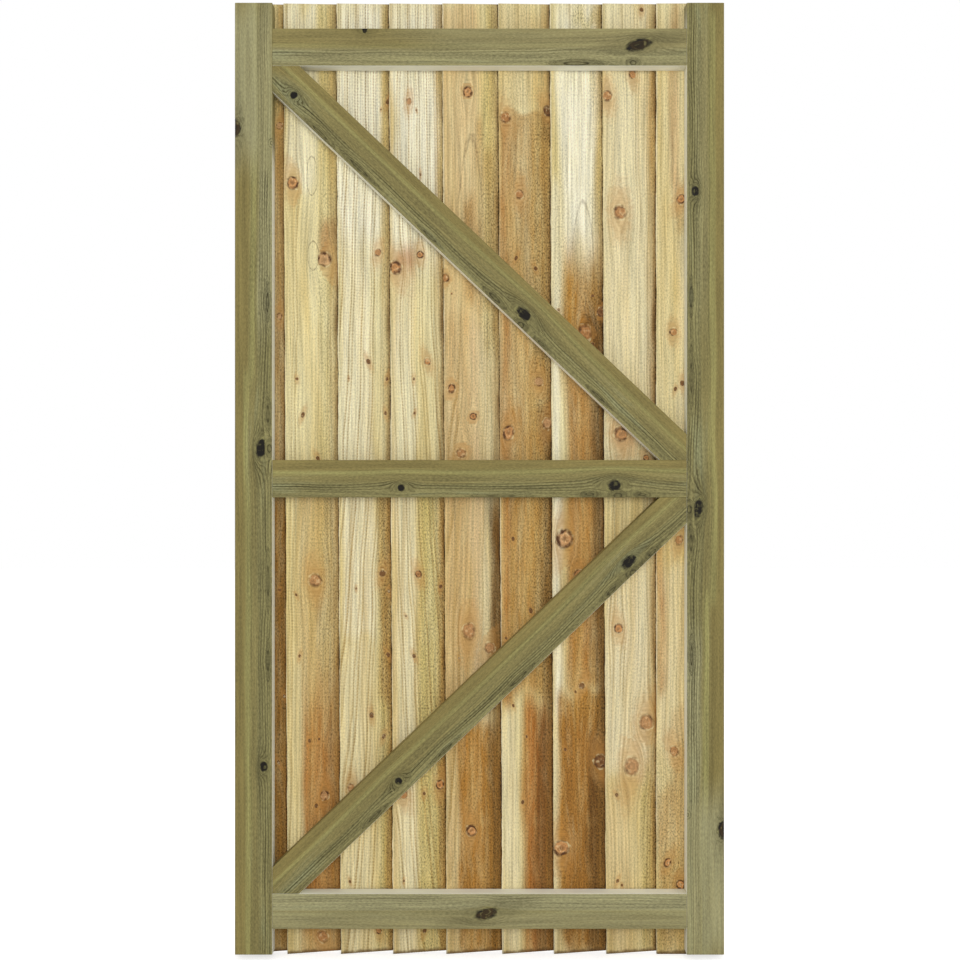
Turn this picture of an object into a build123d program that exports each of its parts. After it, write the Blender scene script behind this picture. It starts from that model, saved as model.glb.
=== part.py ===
from build123d import *
from math import asin, ceil, cos, hypot, radians, sin, tan
import os

os.makedirs("parts", exist_ok=True)

# A framed and braced garden gate: two stiles, three rails and two braces, all in one plane,
# with upright feather-edge boards on the far side. Sizes are in millimetres and degrees.
# X runs from the hanging edge to the latch edge, Y from the frame side to the boarded side,
# and Z is up. The origin is the middle of the left stile's outer edge.

# Frame
frame_width = 915
stile_length = 1780
frame_thickness = 35
stile_width = 70
top_rail_width = 70
middle_rail_width = 70
bottom_rail_width = 66
rail_inset = 48
brace_width = 70
arris_radius = 1.5

# Stub mortise and tenon joints between rails and stiles
tenon_thickness = 12
tenon_length = 40
tenon_shoulder = 10
mortise_gap = 0.2

# Feather-edge boards, thin edge towards the hanging side, standing past both stile ends
board_projection = 10
board_width = 125
thin_edge = 5
thick_edge = 12
least_lap = 20
lap_gap = 0.3
hanging_side_overhang = 7.7
latch_side_overhang = 2.3
board_lean = 0.25
foot_slant = 2.6
# How far each board was nailed from its even place, from the hanging side
lay_offsets = [3.0, -2.0, -1.5, -2.3, -1.0, 4.4, 2.4, 1.4, 0.0]

# Opening of the frame, heights of the rails and length of the boards
clear_left = stile_width
clear_right = frame_width - stile_width
clear_width = clear_right - clear_left
frame_back = frame_thickness / 2
board_length = stile_length + 2 * board_projection
top_rail_height = stile_length / 2 - rail_inset - top_rail_width / 2
bottom_rail_height = rail_inset + bottom_rail_width / 2 - stile_length / 2
rails = [
    ("top_rail", top_rail_height, top_rail_width),
    ("middle_rail", 0, middle_rail_width),
    ("bottom_rail", bottom_rail_height, bottom_rail_width),
]


# Stiles: posts with eased long edges and a blind mortise for each rail
for label, centre_x, inward in (
    ("left_stile", stile_width / 2, 1),
    ("right_stile", frame_width - stile_width / 2, -1),
):
    with BuildPart() as stile:
        with BuildSketch(Plane.XY.offset(-stile_length / 2)):
            with Locations((centre_x, 0)):
                Rectangle(stile_width, frame_thickness)
        extrude(amount=stile_length)
        fillet(stile.edges().filter_by(Axis.Z), radius=arris_radius)
        inner_edge = centre_x + inward * stile_width / 2
        for _, height, rail_width in rails:
            mouth = Plane(origin=(inner_edge, 0, height), x_dir=(0, 1, 0), z_dir=(-inward, 0, 0))
            with BuildSketch(mouth):
                Rectangle(
                    tenon_thickness + 2 * mortise_gap,
                    rail_width - 2 * tenon_shoulder + 2 * mortise_gap,
                )
            extrude(amount=tenon_length + mortise_gap, mode=Mode.SUBTRACT)
    stile.part.label = label
    export_step(stile.part, f"parts/{label}.step")


# Rails: bars that shoulder against the stiles, with a stub tenon at each end
for label, height, rail_width in rails:
    with BuildPart() as rail:
        with BuildSketch(Plane.YZ.offset(clear_left)):
            with Locations((0, height)):
                Rectangle(frame_thickness, rail_width)
        extrude(amount=clear_width)
        fillet(rail.edges().filter_by(Axis.X), radius=arris_radius)
        with BuildSketch(Plane.YZ.offset(clear_left - tenon_length)):
            with Locations((0, height)):
                Rectangle(tenon_thickness, rail_width - 2 * tenon_shoulder)
        extrude(amount=clear_width + 2 * tenon_length)
    rail.part.label = label
    export_step(rail.part, f"parts/{label}.step")


# Braces: each climbs its opening from corner to corner, cut to the rails and stiles.
# Both meet the right stile beside the middle rail, so each outer end is in a left corner.
for label, left_z, right_z in (
    ("upper_brace", top_rail_height - top_rail_width / 2, middle_rail_width / 2),
    ("lower_brace", bottom_rail_height + bottom_rail_width / 2, -middle_rail_width / 2),
):
    climb = right_z - left_z
    diagonal = hypot(clear_width, climb)
    slope = (clear_width / diagonal, 0, climb / diagonal)
    with BuildPart() as brace:
        start = Plane(origin=(clear_left, 0, left_z), x_dir=(0, 1, 0), z_dir=slope)
        with BuildSketch(start.offset(-brace_width)):
            Rectangle(frame_thickness, brace_width)
        extrude(amount=diagonal + 2 * brace_width)
        fillet(brace.edges().filter_by(Axis((0, 0, 0), slope)), radius=arris_radius)
        with BuildSketch(Plane.XZ.offset(-frame_thickness)):
            with Locations(((clear_left + clear_right) / 2, (left_z + right_z) / 2)):
                Rectangle(clear_width, abs(climb))
        extrude(amount=2 * frame_thickness, mode=Mode.INTERSECT)
    brace.part.label = label
    export_step(brace.part, f"parts/{label}.step")


# Boards: as few as keep the least lap, at an even pitch, and each one's place is then
# shifted by its lay offset.
covered_width = hanging_side_overhang + frame_width + latch_side_overhang
board_count = 1 + ceil((covered_width - board_width) / (board_width - least_lap))
board_pitch = (covered_width - board_width) / (board_count - 1)
lay_offsets = (lay_offsets + [0.0] * board_count)[:board_count]
board_places = [
    i * board_pitch - hanging_side_overhang + lay_offsets[i] for i in range(board_count)
]
board_leans = [0.0] + [board_lean] * (board_count - 2) + [0.0]

# Each board stands with its thin edge on the frame and its thick edge on its neighbour,
# so the rise of a board at its thick edge follows from the rise of the next one. The last
# board lies flat. Where two boards lean differently the lap is largest at one end.
board_rises = [0.0] * board_count
for i in reversed(range(board_count - 1)):
    spread = board_length / 2 * tan(radians(abs(board_leans[i] - board_leans[i + 1])))
    lap = board_width - (board_places[i + 1] - board_places[i]) + spread
    neighbour_slope = (thick_edge - thin_edge + board_rises[i + 1]) / board_width
    board_rises[i] = thin_edge + lap_gap + neighbour_slope * lap

for i in range(board_count):
    label = f"board_{i + 1}"
    tilt = asin(board_rises[i] / board_width)
    lean = radians(board_leans[i])
    slant = foot_slant if i < board_count - 1 else 0
    across = (cos(lean) * cos(tilt), sin(tilt), sin(lean) * cos(tilt))
    middle = Plane(
        origin=(board_places[i], frame_back, 0),
        x_dir=across,
        z_dir=(-sin(lean), 0, cos(lean)),
    )
    with BuildPart() as board:
        with BuildSketch(middle.offset(-board_length / 2 - board_width)):
            with BuildLine():
                Polyline(
                    (0, 0),
                    (board_width, 0),
                    (board_width, thick_edge),
                    (0, thin_edge),
                    close=True,
                )
            make_face()
        extrude(amount=board_length + board_width)
        foot = middle.offset(-board_length / 2).rotated((0, -slant, 0))
        split(bisect_by=foot, keep=Keep.TOP)
    board.part.label = label
    export_step(board.part, f"parts/{label}.step")
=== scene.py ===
from math import asin, atan2, cos, hypot, pi, radians, sin, tan

import bpy
import numpy as np
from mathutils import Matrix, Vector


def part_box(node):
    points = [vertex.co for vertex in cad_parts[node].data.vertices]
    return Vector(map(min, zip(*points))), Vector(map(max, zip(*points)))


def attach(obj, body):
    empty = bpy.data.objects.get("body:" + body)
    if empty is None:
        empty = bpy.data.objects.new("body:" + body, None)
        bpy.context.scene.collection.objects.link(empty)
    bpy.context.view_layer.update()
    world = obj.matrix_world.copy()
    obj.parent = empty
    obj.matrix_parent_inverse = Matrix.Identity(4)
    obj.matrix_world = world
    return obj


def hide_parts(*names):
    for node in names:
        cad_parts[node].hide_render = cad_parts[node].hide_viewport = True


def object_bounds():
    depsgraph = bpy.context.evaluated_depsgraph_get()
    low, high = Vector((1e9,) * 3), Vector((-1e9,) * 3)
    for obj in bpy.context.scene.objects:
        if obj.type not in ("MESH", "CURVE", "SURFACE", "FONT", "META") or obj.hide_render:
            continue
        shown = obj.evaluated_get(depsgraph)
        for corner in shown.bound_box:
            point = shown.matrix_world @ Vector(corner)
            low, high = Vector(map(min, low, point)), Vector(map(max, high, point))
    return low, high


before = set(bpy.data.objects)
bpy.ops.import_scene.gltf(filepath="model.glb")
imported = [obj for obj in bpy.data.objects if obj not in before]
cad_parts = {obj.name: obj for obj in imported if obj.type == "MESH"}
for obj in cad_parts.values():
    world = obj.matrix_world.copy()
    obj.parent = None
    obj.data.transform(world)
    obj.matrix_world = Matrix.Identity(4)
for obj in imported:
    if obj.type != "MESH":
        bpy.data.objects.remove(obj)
cad_box = [[float(value) for value in corner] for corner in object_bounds()]

bl_info = {
    "name": "Framed and braced garden gate",
    "version": (1, 0, 0),
    "blender": (4, 5, 0),
    "location": "3D View > Sidebar > Gate",
    "description": "Timber finishes and pieces for a ledged garden gate with feather-edge boards",
    "category": "Object",
}

MM = 0.001


def node_middle(node):
    """The middle of a CAD node's box in millimetres, to the nearest tenth."""
    return np.round(np.mean(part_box(node), axis=0) / MM, 1)


def node_size(node):
    """The size of a CAD node's box in millimetres, to the nearest tenth."""
    return np.round(np.ptp(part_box(node), axis=0) / MM, 1)


# The frame timbers' sizes in millimetres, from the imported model. A rail's box takes in its tenons,
# so it gives only heights.
TIMBER_WIDTH, FRAME_THICKNESS, STILE_LENGTH = node_size("right_stile")
HALF_TIMBER = TIMBER_WIDTH / 2
FRAME_WIDTH = node_middle("right_stile")[0] + HALF_TIMBER
CLEAR_LEFT = TIMBER_WIDTH
CLEAR_RIGHT = FRAME_WIDTH - TIMBER_WIDTH
TOP_RAIL_HEIGHT = node_middle("top_rail")[2]
BOTTOM_RAIL_HEIGHT = node_middle("bottom_rail")[2]
BOTTOM_RAIL_WIDTH = node_size("bottom_rail")[2]
FRAME_BACK = FRAME_THICKNESS / 2
# How far the cut ends are eased
FRAME_END_EASE = 0.5

# The boards' sizes in millimetres and degrees, and their places from the hanging side. The last
# board lies flat on the frame, so its box gives its width, its thick edge and its length.
BOARD_WIDTH, THICK_EDGE, BOARD_LENGTH = node_size("board_9")
THIN_EDGE = 5.0
LAP_GAP = 0.3
BOARD_LEAN = 0.25
FOOT_SLANT = 2.6
BOARD_PLACES = (-4.7, 90.3, 190.8, 290.0, 391.3, 496.7, 594.7, 693.7, 792.3)
BOARD_ARRIS = 0.5
BOARD_END_EASE = 0.3
# Where the last board's missing neighbour would be: too far away to cast painted shade and dirt on it
NO_NEIGHBOUR = 300.0

# Nails: distance from each board's thin edge, and from the point up the shank, out under the
# head, over its low dome and in to its middle, the height and the distance from the axis. The
# head's own distances are shares of its radius.
NAIL_PLACE = 92.0
FIRST_BOARD_NAIL_PLACE = 24.0
NAIL_SIDES = 16
SHANK_REACH = (0.02, 0.75, 1.35, 1.35)
HEAD_SHARES = (0.97, 1.0, 0.93, 0.55)
NAIL_TOP_REACH = 0.02
NAIL_HEIGHTS = (-30.0, -28.0, -26.0, -0.1, 0.0, 0.5, 0.9, 1.15, 1.25)

# The studio, in metres and watts
FLOOR_REACH = 12.0
FLOOR_GAP = 0.0005
LAMP_AIM = (0.4575, 0.0, 0.0)
LAMPS = (("key", (0.75, -4.0, 0.6), 1.5, 50.0), ("back", (0.1, 3.6, 1.0), 2.0, 25.0))
SKY_LIGHT = 0.6
FLOOR_GLOW = 0.62
FLOOR_GREY = (0.82, 0.82, 0.82, 1.0)
WHITE = (1.0, 1.0, 1.0, 1.0)
CAMERA_PLACE = (0.4584, -2.7695, -0.0024)
CAMERA_LENS = 55.2
CAMERA_REACH = 100.0

# How unevenness is drawn: sine waves in a sum, their spread of wave numbers and their level
WAVES = 7
WAVE_RATE = 2.5
WAVE_LEVEL = 1.4

# The middle of a round corner lies this share of its radius from both sides
TURN_MIDDLE = 0.293
# A cut end closes in rings of these shares of the outline
CAP_SHARES = (0.02, 0.3, 0.65)
# How far from every knot a point counts as when there is none, in the knot's own radii
NO_KNOT = 9.0
# Patches, in millimetres: how far their ends fade unless they say it, how far their ends sway, the
# lengths along and across of the sway at sides and ends, and how far the sides of the boards' tones
# and saw weave and of the frame's bands fade and sway
PATCH_FADE = 45
PATCH_RISE = 22
PATCH_WAVES = (150, 60, 160, 25)
TONE_SOFTNESS = 15
TONE_SWAY = 5
WEAVE_SOFTNESS = 9
WEAVE_SWAY = 4
BAND_SWAY = 1.2
# The pale edge of a timber, painted light on one of its side faces: how far from its side it reaches, and
# how far it fades at its end
PALE_EDGE_REACH = 0.5
PALE_EDGE_FADE = 90
NO_PALE_EDGE = (-99, 0)
# A board's thin edge wanders in two waves, which die out over a width
LONG_WAVE = 70
SHORT_WAVE = 14
SHORT_WAVE_SHARE = 0.6
WAVE_LIMIT = 1.2
WAVE_WIDTH = 40
# Least saw weave of a board
LEAST_WEAVE = 0.12
# Saw marks across a board, in radians a metre
SAW_MARKS = 1120.0

# Kinds of knot: up to 1 it is a darkness, from 0, pale pink, over 0.5, orange brown, to 1, black.
# A lens is a knot that the wood has grown over. The last two are thin lines that part no grain.
LENS = 2
CLOSED_LINE = 3
ARCH = 4
# A small share of its own in each knot's kind gives the knot its own unevenness in the finish
KNOT_LOT = 0.0011
# How wide and long a board's knot is for its radius, and its lean in degrees: least and most of each
KNOT_SHAPES = ((0.9, 1.15), (1.0, 1.3), (-30, 30))
# A board's small knots are narrower and shorter, and all of one darkness
SMALL_KNOT_WIDE = 0.7
SMALL_KNOT_LONG = 0.85
SMALL_KNOT_DARK = 0.82
# How strongly the grain parts round a knot, how much less it counts along the timber, and the
# share of the knot's squared width that keeps it from folding at the middle
FLOW_PUSH = 1.1
FLOW_STRETCH = 0.42
FLOW_CORE = 0.45
# How the rings' middle line wanders across and in depth: how far, and its lengths along and across
RING_WAVES = ((1.8, 130, 80), (1.5, 210, 90))


def upside_down(knots):
    """The knots of a timber that is turned to stand on its other end."""
    return [(-knot[0], -knot[1], *knot[2:]) for knot in knots]


# Frame timbers. Across is from the timber's middle, and along is Z, X or the brace's own length,
# in millimetres. Knots: across, along, half width, half length, lean in degrees and kind. Light,
# pale and lines are soft patches: from and to across, from and to along, strength, and how far
# the ends fade. Trunk is the middle line of the growth rings: across, depth, ring spacing, and
# its lean in depth along the timber. Pale edge, painted light on a side face: place across, and how
# far along it reaches.
STILE_KNOTS = [
    (-33, 656, 9, 17, 0, 0.85), (34, 628, 7, 9, 0, CLOSED_LINE), (14, 56, 10, 19.5, 8, 1.0),
    (30, 57, 9.1, 18, 0, LENS), (19, -538, 7, 9.5, 0, 1.0), (26, 330, 5.2, 40, 0, LENS),
    (27, 120, 5.9, 34, 0, LENS), (27, -190, 5.2, 60, 0, LENS), (27, -340, 5.2, 40, 0, LENS),
]
TIMBERS = {
    "left_stile": {
        "seed": 35,
        "pale_edge": (35, 650),
        "knots": STILE_KNOTS,
        "light": [(-6, 7, 560, 900, 0.7), (-5, 4, 200, 620, 0.8), (-14, -4, -900, 230, 0.8)],
        "pale": [(-35, 8, 600, 900, 0.9, 120), (8, 35, 280, 900, 0.65, 120)],
        "lines": [(8, 35, -900, 600, 1.0), (-8, 12, -900, 600, 0.5), (6, 30, 600, 900, 0.4)],
        "trunk": (-70, 30, 4.0, 0.0016),
    },
    "right_stile": {
        "seed": 880,
        "pale_edge": (-35, 900),
        "knots": upside_down(STILE_KNOTS),
        "light": [(-7, 6, -900, -560, 0.7), (-4, 5, -620, -200, 0.8), (6, 18, -230, 900, 0.7)],
        "pale": [
            (-8, 35, -900, -600, 0.95, 120), (-35, -8, -900, -280, 0.75, 120),
            (-20, 4, 300, 900, 0.25, 200),
        ],
        "lines": [(-35, -8, -600, 900, 1.0), (-12, 8, -600, 900, 0.5), (-30, -6, -900, -600, 0.4)],
        "trunk": (70, 30, 4.0, -0.0016),
    },
    "top_rail": {
        "seed": 1807,
        "pale_edge": (-35, 900),
        "knots": [
            (33, 243, 8, 6, 0, 1.0), (4, 755, 11, 25, 14, 0.9), (-31, 640, 7.8, 52, 0, LENS),
            (-29, 745, 9.1, 14, 0, LENS),
        ],
        "light": [(0, 6, 0, 690, 0.45), (-35, -30, 0, 640, 0.35)],
        "pale": [(-40, 0, 0, 900, 0.5), (0, 40, 0, 900, 0.12), (-12, 40, 330, 900, 0.45, 200)],
        "lines": [(-30, -5, 0, 900, 0.8)],
        "trunk": (60, 34, 4.4, 0.0048),
    },
    "middle_rail": {
        "seed": 1000,
        "pale_edge": NO_PALE_EDGE,
        "knots": [
            (-17, 311, 7.5, 7.5, 0, 1.0), (-13, 710, 12, 13, 10, 1.0), (-29, 664, 5.5, 18, 0, LENS),
            (-32, 500, 3.9, 60, 0, LENS), (-32, 716, 11.7, 17, 0, LENS), (-30, 762, 5.2, 16, 0, LENS),
        ],
        "light": [(6, 14, 0, 900, 0.8)],
        "lines": [(-35, -8, 0, 900, 1.0), (-12, 7, 0, 900, 0.5)],
        "trunk": (70, 30, 3.8, 0.0032),
    },
    "bottom_rail": {
        "seed": 191,
        "pale_edge": (33, 900),
        "knots": [(-4.5, 470, 11, 24, 16, 0.8)],
        "light": [(-7, -1, 0, 900, 0.5)],
        # The bottom rail's pale patches are painted light, which makes up for the weaker light at the foot
        "pale": [(-40, 0, 0, 900, 0.65), (0, 40, 0, 900, 1.0)],
        "lines": [(5, 27, 0, 900, 0.6)],
        "trunk": (-60, 34, 4.0, 0.004),
    },
    "upper_brace": {
        "seed": 41,
        "pale_edge": (-35, 1200),
        "knots": [
            (-12, 67, 8, 8, 0, 1.0), (-12, 660, 10.5, 17, 0, 1.0), (-28, 601, 6.5, 31, 0, LENS),
            (-31, 671, 11.7, 15, 0, LENS), (-30, 722, 4.5, 18, 0, LENS), (-28, 868, 4.5, 34, 0, LENS),
            (-29, 150, 5.2, 40, 0, LENS), (-27, 250, 5.2, 50, 0, LENS), (-28, 433, 4.5, 32, 0, LENS),
        ],
        "light": [(9, 15, 0, 1200, 0.8)],
        "lines": [(-35, -10, 0, 1200, 1.0), (-14, 9, 0, 1200, 0.5)],
        "trunk": (70, 30, 3.8, 0.0032),
    },
    "lower_brace": {
        "seed": 47,
        "pale_edge": (-35, 1200),
        "knots": [
            (-11, 316, 8, 8, 0, 1.0), (-12, 910, 10.5, 18.5, 0, 1.0), (-28, 240, 5.2, 34, 0, LENS),
            (-29, 420, 4.5, 40, 0, LENS), (-28, 610, 5.2, 44, 0, LENS), (-29, 850, 5.9, 26, 0, LENS),
            (-32, 902, 11.7, 15, 0, LENS), (-30, 955, 5.2, 20, 0, LENS),
        ],
        "light": [(8, 14, 0, 1200, 0.8)],
        "lines": [(-35, -10, 0, 1200, 1.0), (-14, 9, 0, 1200, 0.5)],
        "trunk": (70, 30, 3.8, -0.0032),
    },
}

# Boards, from the hanging side. Across is from the thin edge. Knots: across, height, radius, and
# darkness unless they are small. Thin lines are as the knots above. The tones and the saw weave
# are soft patches.
# Dark and brown patches up a board's far side, under the next board's thin edge, are partly stain and partly
# painted shade
BOARDS = [
    {
        "knots": [(83, 670, 7, 0.1), (83, 308, 6, 0.05), (83, -211, 3), (92, -413, 4), (81, -538, 4)],
        "brown": [(0, 125, 0, 700, 0.58, 120), (0, 125, -900, 0, 0.88, 120)],
        "olive": [(0, 125, 700, 900, 0.3)],
        "dark": [(0, 125, -900, -100, 0.24, 300)],
        "trunk": (-30, -60, 5.0, 0.08),
    },
    {
        "knots": [
            (16, 560, 10, 0.45), (75, 416, 12, 0.1), (22, 189, 3.5), (33, 121, 5), (61, 38, 5),
            (55, -193, 11, 0.35), (19, -220, 3), (25, -336, 3.5), (43, -497, 4), (61, -494, 3),
            (71, -601, 8, 0.2), (55, -620, 4), (66, -868, 11, 0.4),
        ],
        "brown": [(100, 125, 0, 900, 0.12), (26, 125, -450, 0, 0.32), (28, 125, -900, -360, 0.7, 260)],
        "orange": [(28, 125, -900, -430, 0.4, 240), (70, 100, 420, 480, 0.5)],
        "olive": [(66, 125, -380, 900, 0.3)],
        "dark": [(50, 64, -262, -212, 0.25)],
        "pale": [(4, 60, 560, 900, 0.5)],
        "thin_lines": [(52, 574, 10, 39, 0, CLOSED_LINE), (54, 423, 11, 28, 0, CLOSED_LINE)],
        "weave": [(0, 30, -900, 900, 0.7), (60, 125, -450, 300, 0.6)],
        "trunk": (-60, -75, 4.6, 0.016),
    },
    {
        "knots": [
            (96, 715, 5), (83, 700, 2), (76, 429, 7, 0.45), (57, 222, 5), (20, 190, 2), (92, 189, 4),
            (89, 124, 4), (82, -180, 7, 0.8), (94, -214, 4), (32, -208, 2.5), (92, -334, 4), (60, -448, 5),
            (83, -489, 5), (21, -586, 8, 0.4), (18, -763, 3), (72, -857, 6, 0.5),
        ],
        "brown": [(74, 125, -430, 0, 0.55), (96, 125, 0, 900, 0.3), (90, 125, -900, 0, 0.58)],
        "olive": [(74, 125, -900, 0, 0.6), (86, 125, 0, 900, 0.35)],
        "pale": [(4, 86, 430, 900, 0.95, 160), (4, 66, -300, 430, 0.45), (4, 60, -900, -300, 0.2)],
        "weave": [(0, 76, -900, 900, 1.0)],
        "trunk": (-40, -60, 4.8, 0.064),
    },
    {
        "knots": [
            (37, 715, 6, 0.3), (51, 698, 2), (58, 577, 3), (10, 400, 12, 0.5), (57, 425, 6, 0.55),
            (70, 222, 6, 0.55), (44, 189, 3), (45, 124, 3), (51, -181, 6, 0.6), (93, -205, 4),
            (27, -260, 2.5), (42, -336, 4), (21, -598, 9, 0.45), (60, -597, 4), (90, -581, 8, 0.5),
            (21, -762, 2.5), (60, -857, 5),
        ],
        "brown": [(90, 125, -900, 0, 0.6), (96, 125, 0, 420, 0.35)],
        "orange": [(8, 46, 392, 440, 0.55)],
        "olive": [(50, 125, -900, 0, 0.55), (88, 125, 0, 900, 0.22)],
        "pink": [(0, 12, -900, 900, 0.4)],
        "pale": [(6, 94, 400, 900, 0.92, 160), (12, 46, -900, 430, 0.35)],
        "weave": [(8, 125, -900, 900, 0.9)],
        "trunk": (130, -50, 4.8, 0.064),
    },
    {
        "knots": [
            (47, 733, 9, 0.4), (3, 380, 8, 0.55), (15, 350, 2), (14, 171, 8, 0.5), (55, 118, 6, 0.55),
            (32, 48, 9, 0.4), (45, -289, 13, 0.35), (26, -340, 2.5), (84, -321, 11, 0.3),
            (48, -667, 9, 0.4),
        ],
        "brown": [
            (58, 125, 300, 640, 0.35), (20, 125, -900, -460, 0.85), (74, 125, -900, -460, 0.95),
            (40, 60, 330, 540, 0.5), (66, 74, 430, 690, 0.7), (84, 125, -440, -20, 0.5),
            (0, 125, -900, 300, 0.22),
        ],
        "orange": [(20, 125, -900, -460, 0.12)],
        "olive": [(78, 125, 240, 900, 0.4)],
        "pink": [(0, 70, -450, 900, 0.65), (0, 20, -900, -450, 0.5)],
        "dark": [(88, 125, -380, -40, 0.85, 150), (84, 125, -900, -400, 0.5, 150)],
        "pale": [(50, 84, -460, 300, 0.2)],
        "thin_lines": [(52, 470, 24, 180, 0, ARCH)],
        "weave": [(4, 30, -900, 300, 0.9), (66, 86, -900, 300, 0.6)],
        "trunk": (-10, -70, 4.6, 0.032),
    },
    {
        "knots": [
            (13, 684, 9, 0.55), (94, 698, 9, 0.85), (39, 539, 8, 0.45), (32, 418, 4), (69, 398, 4),
            (74, 184, 9, 0.15), (90, 104, 10, 0.15), (16, 87, 11, 0.4), (24, -114, 4), (57, -250, 5),
            (10, -302, 3), (23, -430, 3), (48, -489, 3), (40, -613, 4),
        ],
        "brown": [
            (0, 125, 130, 690, 0.6, 14), (0, 125, -430, 150, 0.72), (0, 125, 690, 900, 0.22),
            (40, 125, -900, -430, 0.75, 90),
        ],
        "orange": [(0, 20, -430, 683, 0.3), (44, 125, -900, -430, 0.6, 90)],
        "olive": [(64, 125, -430, 683, 0.4)],
        "dark": [
            (84, 97, 640, 705, 0.6, 40), (66, 125, -900, -430, 0.45), (76, 108, 75, 140, 0.5),
            (84, 125, -900, 120, 0.4),
        ],
        "pale": [(0, 28, -900, -430, 0.25)],
        "trunk": (110, -60, 4.8, 0.008),
    },
    {
        "knots": [
            (14, 320, 3), (79, 346, 4), (96, 316, 9, 0.8), (64, 278, 13, 0.45), (78, 253, 5),
            (23, -114, 16, 0.3), (49, -182, 9, 0.4), (55, -393, 6, 0.8), (43, -404, 3), (23, -513, 3),
            (90, -537, 12, 0.8), (14, -700, 14, 0.35),
        ],
        "brown": [(20, 125, 190, 405, 0.9, 170), (26, 125, -400, 240, 0.72), (12, 125, -900, -400, 0.95)],
        "orange": [
            (48, 112, 190, 345, 0.3, 120), (34, 80, -400, 220, 0.2, 120), (20, 125, -900, -450, 0.22, 90),
        ],
        "olive": [(42, 125, 850, 900, 0.5), (80, 125, 470, 770, 0.35), (6, 30, 330, 640, 0.25, 120)],
        "dark": [
            (66, 125, 200, 330, 0.55, 70), (82, 125, -900, 240, 0.6), (24, 66, -900, -440, 0.2, 90),
            (64, 125, -900, -480, 0.65),
        ],
        "pale": [
            (16, 90, 420, 900, 0.9, 160), (0, 22, 240, 560, 0.6), (0, 13, -900, -440, 0.3),
            (0, 16, -460, 380, 0.8),
        ],
        "thin_lines": [(61, 412, 21, 113, 0, ARCH)],
        "trunk": (-50, -70, 5.2, 0.016),
    },
    {
        "knots": [
            (75, 889, 5), (57, 766, 7, 0.45), (9, 725, 9, 0.45), (32, 505, 14, 0.45), (32, 85, 14, 0.35),
            (80, 39, 6, 0.5), (26, -284, 9, 0.5), (78, -462, 15, 0.35), (50, -546, 16, 0.3), (21, -599, 4),
            (22, -762, 4), (30, -770, 3),
        ],
        "brown": [(91, 125, -900, 900, 0.6), (0, 125, -900, 900, 0.1)],
        "orange": [(20, 60, 70, 100, 0.4)],
        "olive": [(70, 125, -900, -560, 0.5)],
        "pink": [(0, 50, -900, -560, 0.3)],
        "pale": [(0, 90, 0, 900, 0.3), (0, 84, -560, -120, 0.4)],
        "weave": [(6, 40, -400, 100, 0.8), (60, 125, -900, 900, 0.5)],
        "trunk": (-55, -60, 4.8, 0.008),
    },
    {
        "knots": [
            (47, 529, 8, 0.45), (32, 278, 7, 0.45), (49, 181, 5), (36, 170, 4), (43, -116, 9, 0.4),
            (34, -516, 9, 0.4), (21, -727, 7, 0.45), (46, -769, 8, 0.45),
        ],
        "brown": [
            (32, 54, 470, 560, 0.4), (0, 15, -430, -60, 0.5), (30, 125, -900, -430, 0.4),
            (0, 125, -900, -560, 0.5), (0, 125, -900, 900, 0.12),
        ],
        "orange": [(25, 44, 540, 900, 0.35), (0, 15, -400, -60, 0.25)],
        "olive": [(0, 125, -900, -500, 0.3)],
        "pale": [(44, 125, 0, 460, 0.35), (0, 125, -700, -150, 0.25)],
        "trunk": (110, -60, 4.8, 0.008),
    },
]


def linear(red, green, blue):
    """A colour from its 0 to 255 screen values to the linear values that shaders take."""
    value = np.array([red, green, blue]) / 255
    value = np.where(value <= 0.04045, value / 12.92, ((value + 0.055) / 1.055) ** 2.4)
    return tuple(float(part) for part in value)


def smooth(x):
    """0 below 0, 1 above 1, and an S curve between."""
    x = np.clip(x, 0, 1)
    return x * x * (3 - 2 * x)


def wander(x, y, seed):
    """A smooth uneven field from about -1 to 1: a sum of sine waves with seeded directions."""
    chance = np.random.default_rng(seed)
    total = np.zeros(np.broadcast(x, y).shape)
    for _ in range(WAVES):
        along_x, along_y, phase = chance.normal(), chance.normal(), chance.uniform(0, 2 * pi)
        total += np.sin(x * along_x * WAVE_RATE + y * along_y * WAVE_RATE + phase)
    return total / WAVES ** 0.5 / WAVE_LEVEL


def eased_outline(corners, radius, step):
    """A closed outline through the corners: each corner is a turn of the given radius in three
    points, and each straight run between two turns is divided evenly."""
    corners = np.array(corners, float)
    before = np.roll(corners, 1, 0) - corners
    after = np.roll(corners, -1, 0) - corners
    before /= np.linalg.norm(before, axis=1)[:, None]
    after /= np.linalg.norm(after, axis=1)[:, None]
    first = corners + before * radius
    middle = corners + (before + after) * radius * TURN_MIDDLE
    last = corners + after * radius
    points = []
    for i in range(len(corners)):
        target = first[(i + 1) % len(corners)]
        count = max(1, int(np.ceil(np.linalg.norm(target - last[i]) / step)))
        share = np.linspace(0, 1, count, endpoint=False)[:, None]
        points += [first[i : i + 1], middle[i : i + 1], last[i] * (1 - share) + target * share]
    return np.concatenate(points)


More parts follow.
